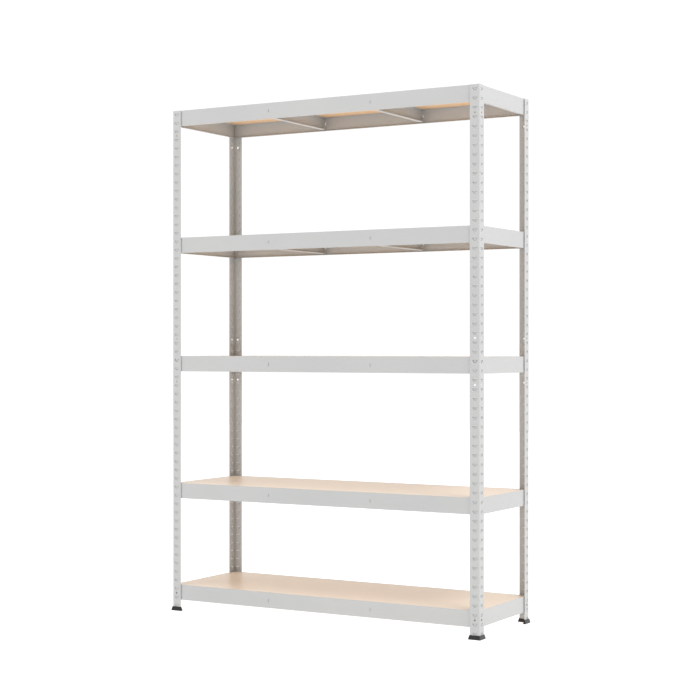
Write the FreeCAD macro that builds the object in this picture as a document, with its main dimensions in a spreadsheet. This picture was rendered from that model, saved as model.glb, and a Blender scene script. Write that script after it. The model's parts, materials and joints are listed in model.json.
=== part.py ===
import FreeCAD, Part
import os
import Sketcher

# Boltless steel shelving: four slotted angle uprights, each of two halves butted at mid height
# and held by a joiner plate, and five levels. A level is a rectangle of four pressed beams that
# hook into the uprights, two crossbars between the long beams, and a loose board on top.
#
# Each slot of an upright is pressed inwards into a shallow cup, closed at its sides and bottom
# and open at its top, behind the flange. A beam's hook drops into the cup from above.
#
# The frame has +X to the right, +Y to the back and +Z up, with the origin on the floor under the
# middle of the rack. Lengths are in millimetres.

PARTS = "parts"
ORIGIN = (-1, 1)        # a sketch's own origin, as a constraint names it
NEAR = 1e-4             # how close a vertex must be to count as lying at a place

DIMENSIONS = {
    # the whole rack
    "width": 1202,              # over the uprights' outer faces, left to right
    "depth": 388,               # over the uprights' outer faces, front to back
    "pitch": 30,                # between two slots, and so the step of every height
    "half_steps": 29.5,         # one half upright, in steps of the pitch
    # uprights
    "flange": 34,               # width of each flange of the angle
    "row_in": 16,               # angle's corner to the middle of its row of slots
    "post_sheet": 1.0,
    "post_bend": 2.0,           # outer radius of the angle's bend
    "slot_top": 17,             # a slot is a trapezoid that narrows downwards
    "slot_bottom": 9,
    "slot_height": 9,
    "slot_corner": 1.5,
    "slot_count": 30,           # per flange of a half, the half slot at the joint included
    "cup_depth": 2.1,           # upright's outer face to the back of a cup
    "cup_wall": 1.0,
    "cup_mouth": 0.3,           # slot's top edge down to the top of its cup
    "hole_radius": 3.5,
    # feet
    "sole": 2.5,                # floor to the upright's lower end
    "foot_height": 14,
    "foot_core_drop": 2.2,      # foot's top down to the top of its core, clear of the lowest cup
    "foot_rim": 2.0,            # height of the upright band at the base
    "foot_wall": 1.2,           # wall beside the upright at the foot's top
    "foot_flare": 4.5,          # how far the base stands out past the upright
    "foot_inside": 3.0,         # how far the base stands in past the upright's inner face
    "foot_fit": 0.05,
    "foot_core_ease": 0.3,      # extra radius where the core meets the upright's inner bend
    # beams
    "beam_height": 54,
    "beam_sheet": 0.8,
    "seat_gap": 2.4,            # upright's inner face to the beam's outer face
    "end_gap": 0.4,             # between beams that meet at a corner
    "ledge_drop": 5.5,          # beam's top edge down to the ledge that the board lies on
    "ledge_depth": 12,          # outer face to the ledge's free edge
    "lip_depth": 10,            # outer face to the bottom lip's free edge
    "corner_cut": 13.3,         # how far a short beam's ledge and lip stop short of the upright
    # hooks
    "hook_first": 15,           # beam's top edge down to the upper slot's centre
    "hook_top": 13,             # the hook's plate is a trapezoid that narrows downwards
    "hook_bottom": 8,
    "hook_drop": 2.5,           # slot's centre down to the plate's bottom
    "hook_rise": 7,             # slot's centre up to the plate's top
    "hook_gap": 0.15,           # upright's inner face to the plate
    "neck_rest": 0.3,           # top of the cup to the underside of the neck over it
    # crossbars
    "bar_offset": 200,          # middle of the rack to a crossbar's centre
    "bar_width": 14,
    "bar_drop": 50,             # beam's top edge down to the crossbar's underside
    "bar_lip": 2.6,
    "bar_play": 0.1,
    "bar_top": 1.2,             # thickness of the top flange
    "bar_flange_cut": 16.4,     # upright's outer face to the end of the crossbar's flanges
    "bar_end_top": 9,           # beam's top edge down to the end plate's top
    "bar_end_bottom": 47,
    "boss_drop": 28,            # beam's top edge down to the slot's centre in a long beam
    "boss_height": 14,
    "boss_width": 6,
    "boss_play": 0.3,
    "boss_flush": 0.1,          # how far the boss stays below the long beam's outer face
    "boss_slit": 1.6,           # width of the slit through the boss's middle
    # joiners
    "joiner_up": 57.5,          # butt joint to the joiner's top, and to its bottom
    "joiner_down": 55,
    "joiner_leg": 27,
    "joiner_sheet": 1.0,
    "joiner_bend": 1.5,
    "joiner_corner": 6,
    "joiner_play": 0.05,
    "joiner_clear": 0.4,        # round a cup that passes through the joiner
    "joiner_travel": 16,        # slot's centre up to the top of a window that a hook moves in
    "window_height": 14,
    "window_width": 3,
    "window_first": 27,         # butt joint to the first relief window's centre
    "window_step": 20,
    # boards
    "board_sheet": 5,
    "board_gap": 0.5,
    "board_corner": 1.0,
    "board_edge": 0.3,
}

# The top edge of each level's beams, in steps of the pitch above the uprights' lower ends.
LEVEL_STEPS = {"level_1": 3, "level_2": 15, "level_3": 30, "level_4": 44, "level_5": 59}

# The four corners: which way the rack's corner lies, and the turn about Z that brings an angle
# whose flanges run along +X and +Y into it.
CORNERS = {
    "front_left": (-1, -1, 0),
    "front_right": (1, -1, 90),
    "back_right": (1, 1, 180),
    "back_left": (-1, 1, 270),
}

# The planes that an angle's two flanges lie on, before it is turned into its corner.
FLANGES = ("XZ_Plane", "YZ_Plane")

# The round holes of each half, in steps of the pitch above the half's lower end.
LOWER_HOLES = (2, 27)
UPPER_HOLES = (2.5, 26.5)

doc = FreeCAD.newDocument("shelving")
size = doc.addObject("Spreadsheet::Sheet", "size")


def fill_sheet():
    rows = dict(DIMENSIONS)
    for level, steps in LEVEL_STEPS.items():
        rows[level + "_steps"] = steps
    for row, (word, number) in enumerate(rows.items(), start=1):
        size.set(f"A{row}", word)
        size.set(f"B{row}", str(number))
        size.setAlias(f"B{row}", word)
    doc.recompute()


def value(formula):
    """The number that a formula over the sheet gives."""
    return float(size.evalExpression(formula))


def origin_part(body, role):
    """One of a body's own origin planes or axes."""
    return next(part for part in body.Origin.OriginFeatures if part.Role == role)


def new_sketch(body, name, plane, offset="0"):
    """A sketch on a plane of the body's origin, moved along the plane's normal."""
    sketch = body.newObject("Sketcher::SketchObject", name)
    sketch.AttachmentSupport = [(origin_part(body, plane), "")]
    sketch.MapMode = "FlatFace"
    sketch.setExpression(".AttachmentOffset.Base.z", offset)
    return sketch


def place_point(sketch, element, point, across, up):
    """Dimension one point from the sketch's origin, both ways, by formula."""
    for kind, formula in (("DistanceX", across), ("DistanceY", up)):
        number = sketch.addConstraint(
            Sketcher.Constraint(kind, *ORIGIN, element, point, value(formula)))
        sketch.setExpression(f"Constraints[{number}]", formula)


def polygon(sketch, corners):
    """A closed outline with straight sides; each corner is a pair of formulas."""
    first = sketch.GeometryCount
    points = [FreeCAD.Vector(value(across), value(up), 0) for across, up in corners]
    count = len(corners)
    for here in range(count):
        sketch.addGeometry(Part.LineSegment(points[here], points[(here + 1) % count]), False)
    for here in range(count):
        following = first + (here + 1) % count
        sketch.addConstraint(Sketcher.Constraint("Coincident", first + here, 2, following, 1))
    for here, (across, up) in enumerate(corners):
        place_point(sketch, first + here, 1, across, up)


def rectangle(sketch, left, right, low, high):
    polygon(sketch, [(left, low), (right, low), (right, high), (left, high)])


def rounded(sketch, centres, radius):
    """A convex outline, anticlockwise: equal arcs about the centres, joined by tangent lines."""
    first = sketch.GeometryCount
    reach = value(radius)
    points = [FreeCAD.Vector(value(across), value(up), 0) for across, up in centres]
    count = len(points)
    normals = []
    for here in range(count):
        along = points[(here + 1) % count] - points[here]
        normals.append(FreeCAD.Vector(along.y, -along.x, 0).normalize())
    for here in range(count):
        before = normals[here - 1]
        after = normals[here]
        middle = (before + after)
        if middle.Length < NEAR:
            middle = FreeCAD.Vector(-before.y, before.x, 0)
        middle.normalize()
        centre = points[here]
        arc = Part.Arc(centre + before * reach, centre + middle * reach, centre + after * reach)
        sketch.addGeometry(arc, False)
        start = centre + after * reach
        end = points[(here + 1) % count] + after * reach
        sketch.addGeometry(Part.LineSegment(start, end), False)
    for here, (across, up) in enumerate(centres):
        arc = first + 2 * here
        line = arc + 1
        next_arc = first + (2 * here + 2) % (2 * count)
        place_point(sketch, arc, 3, across, up)
        number = sketch.addConstraint(Sketcher.Constraint("Radius", arc, reach))
        sketch.setExpression(f"Constraints[{number}]", radius)
        sketch.addConstraint(Sketcher.Constraint("Tangent", arc, 2, line, 1))
        sketch.addConstraint(Sketcher.Constraint("Tangent", line, 2, next_arc, 1))


def circle(sketch, across, up, radius):
    centre = FreeCAD.Vector(value(across), value(up), 0)
    element = sketch.addGeometry(
        Part.Circle(centre, FreeCAD.Vector(0, 0, 1), value(radius)), False)
    place_point(sketch, element, 3, across, up)
    number = sketch.addConstraint(Sketcher.Constraint("Radius", element, value(radius)))
    sketch.setExpression(f"Constraints[{number}]", radius)


def slot(sketch, across, up):
    """The uprights' slot about its centre."""
    rise = "(size.slot_height / 2 - size.slot_corner)"
    top = "(size.slot_top / 2 - size.slot_corner)"
    bottom = "(size.slot_bottom / 2 - size.slot_corner)"
    centres = [
        (f"{across} - {bottom}", f"{up} - {rise}"),
        (f"{across} + {bottom}", f"{up} - {rise}"),
        (f"{across} + {top}", f"{up} + {rise}"),
        (f"{across} - {top}", f"{up} + {rise}"),
    ]
    rounded(sketch, centres, "size.slot_corner")


def trapezoid(sketch, across, low, low_half, high, high_half):
    polygon(sketch, [
        (f"{across} - {low_half}", low),
        (f"{across} + {low_half}", low),
        (f"{across} + {high_half}", high),
        (f"{across} - {high_half}", high),
    ])


def pad(body, name, sketch, length, both_ways=False):
    feature = body.newObject("PartDesign::Pad", name)
    feature.Profile = sketch
    feature.setExpression("Length", length)
    feature.Midplane = both_ways
    return feature


def pocket(body, name, sketch, length, flip=False):
    feature = body.newObject("PartDesign::Pocket", name)
    feature.Profile = sketch
    feature.setExpression("Length", length)
    feature.Reversed = flip
    return feature


def edges_at(shape, **place):
    """Names of the edges whose ends all lie at the given x, y or z."""
    names = []
    for number, edge in enumerate(shape.Edges, start=1):
        ends = [vertex.Point for vertex in edge.Vertexes]
        if all(abs(getattr(end, axis) - where) < NEAR for end in ends
               for axis, where in place.items()):
            names.append(f"Edge{number}")
    return names


def fillet(body, name, base, places, radius):
    """Round the edges of the base feature that lie at each of the places."""
    doc.recompute()
    names = [edge for place in places for edge in edges_at(base.Shape, **place)]
    feature = body.newObject("PartDesign::Fillet", name)
    feature.Base = (base, names)
    feature.setExpression("Radius", radius)
    return feature


def cuts(body, before, after, name):
    """Stop if a cut has taken nothing away."""
    doc.recompute()
    if not after.Shape.Volume < before - NEAR:
        raise RuntimeError(f"{body.Label}: {name} removes nothing")


def new_body(name):
    body = doc.addObject("PartDesign::Body", name)
    body.Label = name
    return body


def angle_section(sketch, near, far, sheet):
    """An L: its outer corner at (near, near), its legs along +X and +Y out to far."""
    inner = f"{near} + {sheet}"
    polygon(sketch, [(near, near), (far, near), (far, inner),
                     (inner, inner), (inner, far), (near, far)])


def stand(body, side_x, side_y, turn, height):
    """Put a corner piece in its corner of the rack, by formula."""
    body.Placement.Rotation = FreeCAD.Rotation(FreeCAD.Vector(0, 0, 1), turn)
    body.setExpression(".Placement.Base.x", f"{side_x} * size.width / 2")
    body.setExpression(".Placement.Base.y", f"{side_y} * size.depth / 2")
    body.setExpression(".Placement.Base.z", height)


def flange_sketch(body, name, plane, inward):
    """A sketch over one flange of an angle, its plane moved inwards from the outer face."""
    offset = inward if plane == "YZ_Plane" else f"-({inward})"
    return new_sketch(body, f"{name}_{plane[:2]}", plane, offset)


def post_half(name, corner, lower):
    """Half an upright: each flange has a half slot at the joint and a row of cups away from it."""
    body = new_body(name)
    length = "size.half_steps * size.pitch"
    middle = "size.row_in"
    section = new_sketch(body, name + "_section", "XY_Plane")
    angle_section(section, "0", "size.flange", "size.post_sheet")
    blank = pad(body, name + "_blank", section, length)
    sheet = value("size.post_sheet")
    outer = fillet(body, name + "_outer_bend", blank, [{"x": 0, "y": 0}], "size.post_bend")
    bend = fillet(body, name + "_bend", outer, [{"x": sheet, "y": sheet}],
                  "size.post_bend - size.post_sheet")
    joint = length if lower else "0"
    first = f"{length} - size.pitch" if lower else "size.pitch"
    holes = LOWER_HOLES if lower else UPPER_HOLES
    doc.recompute()
    solid = bend.Shape.Volume
    pressed = []
    for plane in FLANGES:
        through = flange_sketch(body, name + "_through", plane, "0")
        slot(through, middle, joint)
        for steps in holes:
            circle(through, middle, f"{steps} * size.pitch", "size.hole_radius")
        opened = pocket(body, f"{name}_open_{plane[:2]}", through, "size.post_sheet * 2",
                        plane == "YZ_Plane")
        cuts(body, solid, opened, "the half slot and the round holes")
        cup = flange_sketch(body, name + "_cup", plane, "size.post_sheet / 2")
        trapezoid(cup, middle,
                  f"{first} - size.slot_height / 2 - size.cup_wall",
                  "(size.slot_bottom / 2 + size.cup_wall)",
                  f"{first} + size.slot_height / 2 - size.cup_mouth",
                  "(size.slot_top / 2 + size.cup_wall)")
        shell = pad(body, f"{name}_shell_{plane[:2]}", cup,
                    "size.cup_depth + size.cup_wall - size.post_sheet / 2")
        shell.Reversed = plane == "XZ_Plane"
        doc.recompute()
        solid = shell.Shape.Volume
        hollow = flange_sketch(body, name + "_hollow", plane, "0")
        slot(hollow, middle, first)
        sunk = pocket(body, f"{name}_sink_{plane[:2]}", hollow, "size.cup_depth", plane == "YZ_Plane")
        cuts(body, solid, sunk, "the cup's hollow")
        solid = sunk.Shape.Volume
        pressed.extend([shell, sunk])
    row = body.newObject("PartDesign::LinearPattern", name + "_cups")
    row.Originals = pressed
    row.Direction = (origin_part(body, "Z_Axis"), [""])
    row.Reversed = lower
    row.setExpression("Length", "(size.slot_count - 2) * size.pitch")
    row.setExpression("Occurrences", "size.slot_count - 1")
    body.Tip = row
    side_x, side_y, turn = CORNERS[corner]
    height = "size.sole" if lower else f"size.sole + {length}"
    stand(body, side_x, side_y, turn, height)
    return body


def joiner(name, corner):
    """The L-plate inside an upright across the butt joint."""
    body = new_body(name)
    near = "size.post_sheet + size.joiner_play"
    far = f"{near} + size.joiner_leg"
    inner = value(f"{near} + size.joiner_sheet")
    section = new_sketch(body, name + "_section", "XY_Plane", "-size.joiner_down")
    angle_section(section, near, far, "size.joiner_sheet")
    blank = pad(body, name + "_blank", section, "size.joiner_down + size.joiner_up")
    outer = fillet(body, name + "_outer_bend", blank,
                   [{"x": value(near), "y": value(near)}], "size.joiner_bend")
    bend = fillet(body, name + "_bend", outer, [{"x": inner, "y": inner}],
                  "size.joiner_bend - size.joiner_sheet")
    ends = [{axis: value(far), "z": end} for axis in ("x", "y")
            for end in (-value("size.joiner_down"), value("size.joiner_up"))]
    rounded_ends = fillet(body, name + "_ends", bend, ends, "size.joiner_corner")
    doc.recompute()
    solid = rounded_ends.Shape.Volume
    middle = "size.row_in"
    cup_half = "(size.slot_top / 2 + size.cup_wall + size.joiner_clear)"
    hook_half = "(size.hook_top / 2 + size.joiner_clear * 2)"
    below = "(size.slot_height / 2 + size.cup_wall + size.joiner_clear)"
    reach = f"{near} + size.joiner_sheet * 2"
    for plane in FLANGES:
        outline = flange_sketch(body, name + "_slots", plane, "0")
        rectangle(outline, f"{middle} - {cup_half}", f"{middle} + {cup_half}",
                  f"-size.pitch - {below}", "-size.pitch + size.joiner_travel")
        rectangle(outline, f"{middle} - {hook_half}", f"{middle} + {hook_half}",
                  "-size.slot_height / 2", "size.joiner_travel")
        trapezoid(outline, middle, f"size.pitch - {below}",
                  "(size.slot_bottom / 2 + size.cup_wall + size.joiner_clear)",
                  "size.pitch + size.slot_height / 2 + size.joiner_clear", cup_half)
        rectangle(outline, f"{middle} - {hook_half}", f"{middle} + {hook_half}",
                  f"2 * size.pitch - {below}", "size.joiner_up + size.joiner_clear")
        opened = pocket(body, f"{name}_cut_{plane[:2]}", outline, reach, plane == "YZ_Plane")
        cuts(body, solid, opened, "the windows for cups and hooks")
        solid = opened.Shape.Volume
    windows = new_sketch(body, name + "_windows", "XZ_Plane")
    bent = f"{near} + size.joiner_bend"
    for number in (0, 1):
        centre = f"size.window_first + {number} * size.window_step"
        rectangle(windows, bent, f"{bent} + size.window_width",
                  f"{centre} - size.window_height / 2", f"{centre} + size.window_height / 2")
    relieved = pocket(body, name + "_relief", windows, reach)
    cuts(body, solid, relieved, "the relief windows")
    side_x, side_y, turn = CORNERS[corner]
    stand(body, side_x, side_y, turn, "size.sole + size.half_steps * size.pitch")
    return body


def foot(name, corner):
    """A moulded cap on an upright's lower end, with a skirt that flares towards the floor."""
    body = new_body(name)
    inside = "size.post_sheet + size.foot_inside"
    top_inside = "size.post_sheet + size.foot_wall"
    base = new_sketch(body, name + "_base", "XY_Plane")
    rim = new_sketch(body, name + "_rim", "XY_Plane", "size.foot_rim")
    top = new_sketch(body, name + "_top", "XY_Plane", "size.foot_height")
    for sketch in (base, rim):
        angle_section(sketch, "-size.foot_flare", "size.flange + size.foot_flare",
                      f"size.foot_flare + {inside}")
    angle_section(top, "-size.foot_wall", "size.flange + size.foot_wall",
                  f"size.foot_wall + {top_inside}")
    pad(body, name + "_band", base, "size.foot_rim")
    skirt = body.newObject("PartDesign::AdditiveLoft", name + "_skirt")
    skirt.Profile = rim
    skirt.Sections = [top]
    skirt.Ruled = True
    doc.recompute()
    socket_outline = new_sketch(body, name + "_socket_outline", "XY_Plane", "size.foot_height")
    angle_section(socket_outline, "-size.foot_fit", "size.flange + size.foot_fit",
                  "size.post_sheet + size.foot_fit * 2")
    socket = pocket(body, name + "_socket", socket_outline, "size.foot_height - size.sole")
    cuts(body, skirt.Shape.Volume, socket, "the socket")
    core_top = new_sketch(body, name + "_core_top", "XY_Plane", "size.foot_height")
    rectangle(core_top, "size.post_sheet", "size.flange", "size.post_sheet", "size.flange")
    lowered = pocket(body, name + "_core_drop", core_top, "size.foot_core_drop")
    cuts(body, socket.Shape.Volume, lowered, "the step down to the core")
    flare = value("size.foot_flare")
    far = value("size.flange + size.foot_flare")
    corners = [{"x": -flare, "y": -flare}, {"x": far, "y": -flare}, {"x": -flare, "y": far}]
    eased = fillet(body, name + "_corners", lowered, corners, "size.foot_flare / 3")
    core = value("size.post_sheet + size.foot_fit")
    fillet(body, name + "_core", eased, [{"x": core, "y": core}],
           "size.post_bend - size.post_sheet + size.foot_core_ease")
    side_x, side_y, turn = CORNERS[corner]
    stand(body, side_x, side_y, turn, "0")
    return body


def add_hooks(body, name, reach):
    """Two hooks at each end of a beam: a neck over the cup's back, and a plate down inside it."""
    cup_top = "size.slot_height / 2 - size.cup_mouth"
    outward = "(size.seat_gap - size.hook_gap)"
    necks = new_sketch(body, name + "_necks", "XZ_Plane")
    plates = new_sketch(body, name + "_plates", "XZ_Plane", f"{outward} - size.beam_sheet")
    for end in (-1, 1):
        for row in (0, 1):
            across = f"{end} * ({reach} - size.row_in)"
            centre = f"(-size.hook_first - {row} * size.pitch)"
            rectangle(necks, f"{across} - size.hook_top / 2", f"{across} + size.hook_top / 2",
                      f"{centre} + {cup_top} + size.neck_rest", f"{centre} + size.hook_rise")
            trapezoid(plates, across, f"{centre} - size.hook_drop", "size.hook_bottom / 2",
                      f"{centre} + size.hook_rise", "size.hook_top / 2")
    pad(body, name + "_neck", necks, outward)
    return pad(body, name + "_hook", plates, "size.beam_sheet")


def beam(name, level, reach, setback, turn, web_half, shelf_half, slotted):
    """A pressed beam along X, its outer face at y = 0 and its top edge at z = 0, then turned."""
    body = new_body(name)
    sheet = "size.beam_sheet"
    web = new_sketch(body, name + "_web_outline", "YZ_Plane")
    rectangle(web, "0", sheet, "-size.beam_height", "0")
    pad(body, name + "_web", web, f"2 * ({web_half})", True)
    shelf = new_sketch(body, name + "_ledge_outline", "YZ_Plane")
    polygon(shelf, [
        (f"{sheet} / 2", "0"),
        (f"{sheet} / 2", f"-size.ledge_drop - {sheet}"),
        ("size.ledge_depth", f"-size.ledge_drop - {sheet}"),
        ("size.ledge_depth", "-size.ledge_drop"),
        (f"2 * {sheet}", "-size.ledge_drop"),
        (f"2 * {sheet}", "0"),
    ])
    pad(body, name + "_ledge", shelf, f"2 * ({shelf_half})", True)
    lip = new_sketch(body, name + "_lip_outline", "YZ_Plane")
    rectangle(lip, f"{sheet} / 2", "size.lip_depth", "-size.beam_height", f"-size.beam_height + {sheet}")
    flanged = pad(body, name + "_lip", lip, f"2 * ({shelf_half})", True)
    thick = value(sheet)
    low = -value("size.beam_height")
    ledge = -value("size.ledge_drop")
    bends = [{"y": 0, "z": 0}, {"y": 2 * thick, "z": 0}, {"y": 0, "z": low}]
    bent = fillet(body, name + "_bends", flanged, bends, f"{sheet} * 0.85")
    folds = [{"y": 2 * thick, "z": ledge}, {"y": thick, "z": low + thick}]
    folded = fillet(body, name + "_folds", bent, folds, f"{sheet} / 2")
    doc.recompute()
    if slotted:
        solid = folded.Shape.Volume
        slots = new_sketch(body, name + "_bar_slots", "XZ_Plane")
        for side in (-1, 1):
            boss_outline(slots, f"{side} * size.bar_offset", "0")
        opened = pocket(body, name + "_bar_cuts", slots, f"{sheet} * 1.5")
        cuts(body, solid, opened, "the crossbar slots")
    add_hooks(body, name, reach)
    body.Placement.Rotation = FreeCAD.Rotation(FreeCAD.Vector(0, 0, 1), turn)
    out_x, out_y = {0: (0, -1), 90: (1, 0), 180: (0, 1), 270: (-1, 0)}[turn]
    body.setExpression(".Placement.Base.x", f"{out_x} * ({setback})")
    body.setExpression(".Placement.Base.y", f"{out_y} * ({setback})")
    body.setExpression(".Placement.Base.z", f"size.sole + size.{level}_steps * size.pitch")
    return body


def boss_outline(sketch, across, inset):
    """The upright oval of a crossbar's boss and of its slot in a long beam."""
    rise = "(size.boss_height - size.boss_width) / 2"
    rounded(sketch, [(across, f"-size.boss_drop - {rise}"), (across, f"-size.boss_drop + {rise}")],
            f"size.boss_width / 2 - {inset}")


def crossbar(name, level, side):
    """A channel from front to back, open towards +X, with an end plate and a slit boss at each end."""
    body = new_body(name)
    sheet = "size.beam_sheet"
    half = "size.bar_width / 2"
    web_half = f"size.depth / 2 - size.post_sheet - size.seat_gap - {sheet} - size.bar_play"
    flange_half = "size.depth / 2 - size.bar_flange_cut"
    web = new_sketch(body, name + "_web_outline", "XZ_Plane")
    rectangle(web, f"-{half}", f"-{half} + {sheet}",
              "-size.bar_drop", f"-size.ledge_drop - {sheet} - size.bar_play")
    pad(body, name + "_web", web, f"2 * ({web_half})", True)
    flanges = new_sketch(body, name + "_flange_outline", "XZ_Plane")
    rectangle(flanges, f"-{half}", half, "-size.ledge_drop - size.bar_top", "-size.ledge_drop")
    polygon(flanges, [
        (f"-{half}", "-size.bar_drop"),
        (half, "-size.bar_drop"),
        (half, "-size.bar_drop + size.bar_lip"),
        (f"{half} - {sheet}", "-size.bar_drop + size.bar_lip"),
        (f"{half} - {sheet}", f"-size.bar_drop + {sheet}"),
        (f"-{half}", f"-size.bar_drop + {sheet}"),
    ])
    pad(body, name + "_flanges", flanges, f"2 * ({flange_half})", True)
    for end, word in ((-1, "front"), (1, "back")):
        plate = new_sketch(body, f"{name}_{word}_plate_outline", "XZ_Plane", f"{-end} * ({web_half})")
        rectangle(plate, f"-{half}", half, "-size.bar_end_bottom", "-size.bar_end_top")
        end_plate = pad(body, f"{name}_{word}_plate", plate, sheet)
        end_plate.Reversed = end < 0
        oval = new_sketch(body, f"{name}_{word}_boss_outline", "XZ_Plane", f"{-end} * ({web_half})")
        boss_outline(oval, "0", "size.boss_play")
        boss = pad(body, f"{name}_{word}_boss", oval, f"{sheet} + size.bar_play - size.boss_flush")
        boss.Reversed = end > 0
        doc.recompute()
        solid = boss.Shape.Volume
        hollow = new_sketch(body, f"{name}_{word}_hollow_outline", "XZ_Plane",
                            f"{-end} * ({web_half} - {sheet})")
        boss_outline(hollow, "0", "size.boss_play * 3")
        recess = pocket(body, f"{name}_{word}_hollow", hollow, sheet, end < 0)
        cuts(body, solid, recess, "the boss's recess")
        solid = recess.Shape.Volume
        middle = new_sketch(body, f"{name}_{word}_slit_outline", "XZ_Plane",
                            f"{-end} * ({web_half} - {sheet})")
        boss_outline(middle, "0", "(size.boss_width - size.boss_slit) / 2")
        slit = pocket(body, f"{name}_{word}_slit", middle, f"3 * {sheet}", end < 0)
        cuts(body, solid, slit, "the boss's slit")
    body.setExpression(".Placement.Base.x", f"{side} * size.bar_offset")
    body.setExpression(".Placement.Base.z", f"size.sole + size.{level}_steps * size.pitch")
    return body


def board(name, level):
    """A loose shelf board inside the beams' top edges, on their ledges."""
    body = new_body(name)
    inset = "size.post_sheet + size.seat_gap + 2 * size.beam_sheet + size.board_gap"
    half_x = f"size.width / 2 - ({inset}) - size.board_corner"
    half_y = f"size.depth / 2 - ({inset}) - size.board_corner"
    outline = new_sketch(body, name + "_outline", "XY_Plane", "-size.ledge_drop")
    rounded(outline, [(f"-({half_x})", f"-({half_y})"), (half_x, f"-({half_y})"),
                      (half_x, half_y), (f"-({half_x})", half_y)], "size.board_corner")
    panel = pad(body, name + "_panel", outline, "size.board_sheet")
    bottom = -value("size.ledge_drop")
    top = bottom + value("size.board_sheet")
    fillet(body, name + "_edge", panel, [{"z": bottom}, {"z": top}], "size.board_edge")
    body.setExpression(".Placement.Base.z", f"size.sole + size.{level}_steps * size.pitch")
    return body


def build_uprights():
    bodies = []
    for corner in CORNERS:
        bodies.append(post_half(f"post_lower_{corner}", corner, True))
        bodies.append(post_half(f"post_upper_{corner}", corner, False))
        bodies.append(joiner(f"joiner_{corner}", corner))
        bodies.append(foot(f"foot_{corner}", corner))
    return bodies


def build_level(level):
    clear = "size.post_sheet + size.seat_gap"
    long_half = f"size.width / 2 - ({clear}) - size.beam_sheet - size.end_gap"
    short_half = f"size.depth / 2 - ({clear}) - 2 * size.beam_sheet - size.end_gap"
    short_shelf = f"size.depth / 2 - ({clear}) - size.corner_cut"
    front_out = f"size.depth / 2 - ({clear})"
    side_out = f"size.width / 2 - ({clear})"
    bodies = []
    for place, turn in (("front", 0), ("back", 180)):
        bodies.append(beam(f"{level}_{place}_beam", level, "size.width / 2", front_out, turn,
                           long_half, long_half, True))
    for place, turn in (("right", 90), ("left", 270)):
        bodies.append(beam(f"{level}_{place}_beam", level, "size.depth / 2", side_out, turn,
                           short_half, short_shelf, False))
    for place, side in (("left", -1), ("right", 1)):
        bodies.append(crossbar(f"{level}_{place}_crossbar", level, side))
    bodies.append(board(f"{level}_board", level))
    return bodies


def check(bodies):
    for item in doc.Objects:
        if "Invalid" in item.State or "Error" in item.State:
            raise RuntimeError(f"{item.Label} did not recompute: {item.State}")
    for body in bodies:
        if body.Shape.isNull() or not body.Shape.isValid() or len(body.Shape.Solids) != 1:
            raise RuntimeError(f"{body.Label} is not one valid solid")


def main():
    fill_sheet()
    bodies = build_uprights()
    for level in LEVEL_STEPS:
        bodies.extend(build_level(level))
    doc.recompute()
    check(bodies)
    os.makedirs(PARTS, exist_ok=True)
    for body in bodies:
        body.Shape.exportStep(os.path.join(PARTS, body.Label + ".step"))
        box = body.Shape.BoundBox
        print(f"{body.Label:28s} {body.Shape.Volume / 1000:9.2f} cm3  "
              f"x {box.XMin:8.2f} {box.XMax:8.2f}  y {box.YMin:8.2f} {box.YMax:8.2f}  "
              f"z {box.ZMin:8.2f} {box.ZMax:8.2f}")


main()
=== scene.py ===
import json
import math
import bpy
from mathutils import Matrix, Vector

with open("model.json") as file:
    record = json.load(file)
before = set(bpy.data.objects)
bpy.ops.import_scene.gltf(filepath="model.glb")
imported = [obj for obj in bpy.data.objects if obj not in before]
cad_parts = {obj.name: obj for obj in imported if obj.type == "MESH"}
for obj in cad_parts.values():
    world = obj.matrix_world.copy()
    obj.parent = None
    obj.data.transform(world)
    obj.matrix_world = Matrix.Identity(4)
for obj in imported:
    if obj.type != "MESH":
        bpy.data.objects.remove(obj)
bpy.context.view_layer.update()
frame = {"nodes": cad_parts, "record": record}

# Boltless steel shelving in light grey powder coat, with raw fibreboard shelves.
# Lengths are in metres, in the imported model's own frame: +X right, +Y back, +Z up.
# Patterns are laid in object coordinates, so a noise's scale is per metre.

WHITE = (1, 1, 1)
LEAST_UP = 0.7                          # least Z of a normal that counts as facing up

FLOOR_REACH = 12.0                      # middle of the rack to the floor's edge
FLOOR_GREY = 0.25
FLOOR_GLOW = 1.0
FLOOR_ROUGHNESS = 0.9

WORLD_FRONT = 0.72                      # brightness in front of the rack
WORLD_BACK = 1.05                       # and behind it
WORLD_GRADE = 0.3                       # Y of a direction where the change between them ends

RACK_MIDDLE = (0, 0, 1.0)
UPPER_BAY = (0, 0, 1.6)
# name, place, what it points at, side of its square, watts
LAMPS = (
    ("key", (4.2, -1.5, 6.0), RACK_MIDDLE, 2.5, 155),
    ("top", (-3.0, -4.0, 5.3), RACK_MIDDLE, 3.0, 80),
    ("side", (4.2, 3.6, 2.4), UPPER_BAY, 1.2, 14),
)

CAMERA_PLACE = (2.8307, -4.8777, 0.9272)
CAMERA_YAW = 30.012                     # degrees to the left of straight back
CAMERA_LENS = 83.55                     # millimetres
SENSOR_WIDTH = 36.0
CAMERA_SHIFT_UP = -0.0013
CAMERA_REACH = 100.0


# ---------------------------------------------------------------- nodes

def new_material(name):
    """A material with an empty tree: the material, its tree and its Principled shader."""
    material = bpy.data.materials.new(name)
    material.use_nodes = True
    tree = material.node_tree
    tree.nodes.clear()
    output = tree.nodes.new("ShaderNodeOutputMaterial")
    shader = tree.nodes.new("ShaderNodeBsdfPrincipled")
    tree.links.new(shader.outputs["BSDF"], output.inputs["Surface"])
    return material, tree, shader


def feed(tree, socket, source):
    """Link a socket to the source, or set it where the source is a number or a colour."""
    if isinstance(source, tuple):
        socket.default_value = (*source, 1)
    elif isinstance(source, float):
        socket.default_value = source
    else:
        tree.links.new(source, socket)


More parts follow.
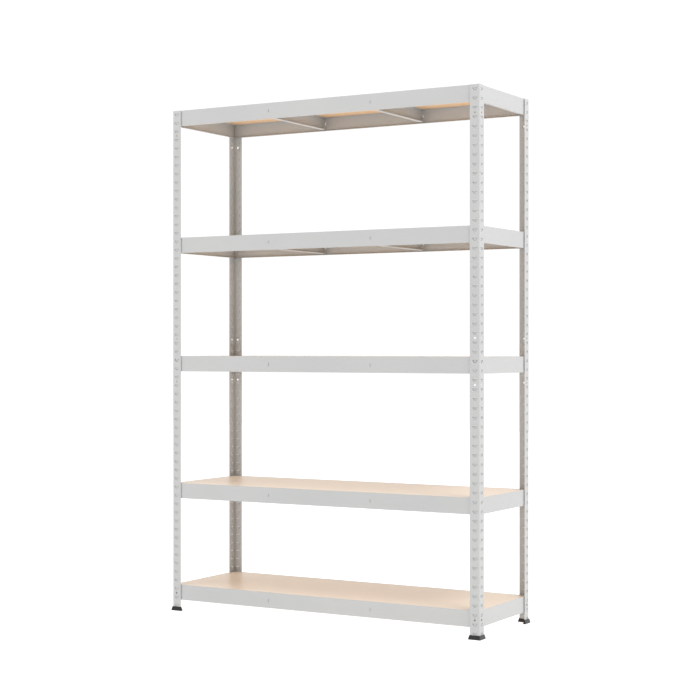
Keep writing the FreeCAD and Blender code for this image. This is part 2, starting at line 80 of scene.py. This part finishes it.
def object_coordinates(tree, stretch=(1, 1, 1)):
    """Object coordinates in metres, multiplied by a factor along each axis."""
    place = tree.nodes.new("ShaderNodeTexCoord")
    mapping = tree.nodes.new("ShaderNodeMapping")
    mapping.inputs["Scale"].default_value = stretch
    feed(tree, mapping.inputs["Vector"], place.outputs["Object"])
    return mapping.outputs["Vector"]


def noise(tree, vector, scale, detail, roughness=0.5):
    """Fractal noise, a factor that stays mostly between 0.3 and 0.7."""
    node = tree.nodes.new("ShaderNodeTexNoise")
    node.inputs["Scale"].default_value = scale
    node.inputs["Detail"].default_value = detail
    node.inputs["Roughness"].default_value = roughness
    feed(tree, node.inputs["Vector"], vector)
    return node.outputs["Fac"]


def tones(tree, factor, dark, light, start=0.3, end=0.7):
    """A colour that goes from dark to light as the factor goes from start to end."""
    node = tree.nodes.new("ShaderNodeValToRGB")
    first, last = node.color_ramp.elements
    first.position = start
    first.color = (*dark, 1)
    last.position = end
    last.color = (*light, 1)
    feed(tree, node.inputs["Fac"], factor)
    return node.outputs["Color"]


def remap(tree, factor, low, high):
    """A 0 to 1 factor spread over low to high."""
    node = tree.nodes.new("ShaderNodeMapRange")
    node.inputs["To Min"].default_value = low
    node.inputs["To Max"].default_value = high
    feed(tree, node.inputs["Value"], factor)
    return node.outputs["Result"]


def mix(tree, factor, first, second, blend="MIX"):
    """Two colours mixed by a factor."""
    node = tree.nodes.new("ShaderNodeMix")
    node.data_type = "RGBA"
    node.blend_type = blend
    first_socket, second_socket = [socket for socket in node.inputs if socket.type == "RGBA"]
    feed(tree, node.inputs[0], factor)
    feed(tree, first_socket, first)
    feed(tree, second_socket, second)
    return next(socket for socket in node.outputs if socket.type == "RGBA")


def bump(tree, shader, height, strength, distance):
    """Raise the surface by a height factor, by at most distance in metres."""
    node = tree.nodes.new("ShaderNodeBump")
    node.inputs["Strength"].default_value = strength
    node.inputs["Distance"].default_value = distance
    feed(tree, node.inputs["Height"], height)
    feed(tree, shader.inputs["Normal"], node.outputs["Normal"])


def facing_up(tree):
    """1 where the surface faces upwards in the object's own frame, 0 elsewhere."""
    place = tree.nodes.new("ShaderNodeTexCoord")
    axes = tree.nodes.new("ShaderNodeSeparateXYZ")
    feed(tree, axes.inputs["Vector"], place.outputs["Normal"])
    up = tree.nodes.new("ShaderNodeMath")
    up.operation = "GREATER_THAN"
    up.inputs[1].default_value = LEAST_UP
    feed(tree, up.inputs[0], axes.outputs["Z"])
    return up.outputs["Value"]


# ---------------------------------------------------------------- finishes

def powder_coat():
    """Light grey powder coat: faint orange peel, a little tone drift, satin gloss."""
    material, tree, shader = new_material("powder_coat")
    place = object_coordinates(tree)
    drift = noise(tree, place, scale=3.0, detail=2.0)
    tone = tones(tree, drift, dark=(0.50, 0.505, 0.50), light=(0.53, 0.53, 0.525))
    feed(tree, shader.inputs["Base Color"], tone)
    peel = noise(tree, place, scale=900.0, detail=2.0)
    feed(tree, shader.inputs["Roughness"], remap(tree, peel, low=0.40, high=0.52))
    bump(tree, shader, peel, strength=0.2, distance=0.0002)
    shader.inputs["Specular IOR Level"].default_value = 0.45
    return material


def zinc():
    """Zinc plate on the joiners: soft mottling and a dull metal shine."""
    material, tree, shader = new_material("zinc")
    place = object_coordinates(tree)
    spangle = noise(tree, place, scale=160.0, detail=3.0, roughness=0.6)
    tone = tones(tree, spangle, dark=(0.50, 0.49, 0.47), light=(0.62, 0.61, 0.59))
    feed(tree, shader.inputs["Base Color"], tone)
    shader.inputs["Metallic"].default_value = 0.6
    feed(tree, shader.inputs["Roughness"], remap(tree, spangle, low=0.38, high=0.55))
    bump(tree, shader, spangle, strength=0.1, distance=0.0001)
    return material


def black_plastic():
    """Moulded black plastic with a fine spark-eroded grain."""
    material, tree, shader = new_material("black_plastic")
    place = object_coordinates(tree)
    grain = noise(tree, place, scale=1400.0, detail=3.0)
    tone = tones(tree, grain, dark=(0.003, 0.003, 0.003), light=(0.007, 0.007, 0.007))
    feed(tree, shader.inputs["Base Color"], tone)
    feed(tree, shader.inputs["Roughness"], remap(tree, grain, low=0.24, high=0.36))
    bump(tree, shader, grain, strength=0.1, distance=0.0001)
    shader.inputs["Specular IOR Level"].default_value = 0.65
    return material


def fibreboard():
    """Raw fibreboard: browner edges and underside, an upper face painted paler and greyer as a
    painted sheen, fibres and flecks.
    """
    material, tree, shader = new_material("fibreboard")
    place = object_coordinates(tree, stretch=(1.0, 1.6, 1.0))
    fibres = noise(tree, place, scale=240.0, detail=6.0, roughness=0.65)
    clouds = remap(tree, noise(tree, place, scale=9.0, detail=4.0), low=0.0, high=0.25)
    raw = tones(tree, fibres, dark=(0.82, 0.545, 0.305), light=(0.92, 0.63, 0.385))
    raw = mix(tree, clouds, raw, (0.81, 0.53, 0.30))
    # Painted sheen: the upward faces get this paler, greyer colour in place of the glancing
    # reflection that light gives them.
    painted_sheen_top = tones(tree, fibres, dark=(0.71, 0.575, 0.44), light=(0.83, 0.695, 0.56))
    painted_sheen_top = mix(tree, clouds, painted_sheen_top, (0.73, 0.575, 0.435))
    # The up-facing mask lays the painted sheen on the upper faces only; edges and underside keep the
    # raw colour.
    face = mix(tree, facing_up(tree), raw, painted_sheen_top)
    chips = noise(tree, object_coordinates(tree, stretch=(1.0, 2.5, 1.0)), scale=620.0, detail=2.0)
    flecks = tones(tree, chips, dark=(0.74, 0.70, 0.66), light=WHITE, start=0.30, end=0.40)
    feed(tree, shader.inputs["Base Color"], mix(tree, 1.0, face, flecks, "MULTIPLY"))
    feed(tree, shader.inputs["Roughness"], remap(tree, fibres, low=0.30, high=0.44))
    bump(tree, shader, fibres, strength=0.12, distance=0.0002)
    return material


def dress_nodes():
    """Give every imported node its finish, by the material slot that the record names."""
    finishes = {
        "powder_coat": powder_coat(),
        "zinc": zinc(),
        "black_plastic": black_plastic(),
        "fibreboard": fibreboard(),
    }
    slots = {row["node"]: row["material_slot"] for row in frame["record"]["subparts"]}
    for name, node in frame["nodes"].items():
        node.data.materials.clear()
        node.data.materials.append(finishes[slots[name]])


# ---------------------------------------------------------------- stage

def make_floor():
    """A flat square floor that glows, so that hardly any shadow shows on it."""
    corners = [(x * FLOOR_REACH, y * FLOOR_REACH, 0) for x, y in ((-1, -1), (1, -1), (1, 1), (-1, 1))]
    mesh = bpy.data.meshes.new("floor")
    mesh.from_pydata(corners, [], [(0, 1, 2, 3)])
    floor = bpy.data.objects.new("floor", mesh)
    bpy.context.scene.collection.objects.link(floor)
    material, _, shader = new_material("floor")
    shader.inputs["Base Color"].default_value = (FLOOR_GREY, FLOOR_GREY, FLOOR_GREY, 1)
    shader.inputs["Roughness"].default_value = FLOOR_ROUGHNESS
    shader.inputs["Emission Color"].default_value = (*WHITE, 1)
    shader.inputs["Emission Strength"].default_value = FLOOR_GLOW
    mesh.materials.append(material)


def make_world():
    """A studio that is brightest behind the rack and dims towards the front."""
    world = bpy.data.worlds.new("studio")
    world.use_nodes = True
    tree = world.node_tree
    place = tree.nodes.new("ShaderNodeTexCoord")
    axes = tree.nodes.new("ShaderNodeSeparateXYZ")
    feed(tree, axes.inputs["Vector"], place.outputs["Generated"])
    grade = tree.nodes.new("ShaderNodeMapRange")
    grade.interpolation_type = "SMOOTHSTEP"
    grade.inputs["From Min"].default_value = -WORLD_GRADE
    grade.inputs["From Max"].default_value = WORLD_GRADE
    grade.inputs["To Min"].default_value = WORLD_FRONT
    grade.inputs["To Max"].default_value = WORLD_BACK
    feed(tree, grade.inputs["Value"], axes.outputs["Y"])
    background = tree.nodes["Background"]
    background.inputs["Color"].default_value = (*WHITE, 1)
    feed(tree, background.inputs["Strength"], grade.outputs["Result"])
    bpy.context.scene.world = world


def make_lamp(name, place, aim, side, watts):
    """A square lamp that points at aim and isn't seen itself."""
    data = bpy.data.lights.new(name, "AREA")
    data.shape = "SQUARE"
    data.size = side
    data.energy = watts
    lamp = bpy.data.objects.new(name, data)
    lamp.location = place
    lamp.rotation_euler = (Vector(aim) - Vector(place)).to_track_quat("-Z", "Y").to_euler()
    lamp.visible_camera = False
    bpy.context.scene.collection.objects.link(lamp)


def make_camera():
    """The viewpoint: level, at about the middle level's height, from the front right."""
    data = bpy.data.cameras.new("camera")
    data.sensor_width = SENSOR_WIDTH
    data.lens = CAMERA_LENS
    data.shift_y = CAMERA_SHIFT_UP
    data.clip_end = CAMERA_REACH
    camera = bpy.data.objects.new("camera", data)
    camera.location = CAMERA_PLACE
    camera.rotation_euler = (math.radians(90), 0, math.radians(CAMERA_YAW))
    bpy.context.scene.collection.objects.link(camera)
    bpy.context.scene.camera = camera
    bpy.context.scene.view_settings.view_transform = "Standard"


dress_nodes()
make_floor()
make_world()
for lamp in LAMPS:
    make_lamp(*lamp)
make_camera()
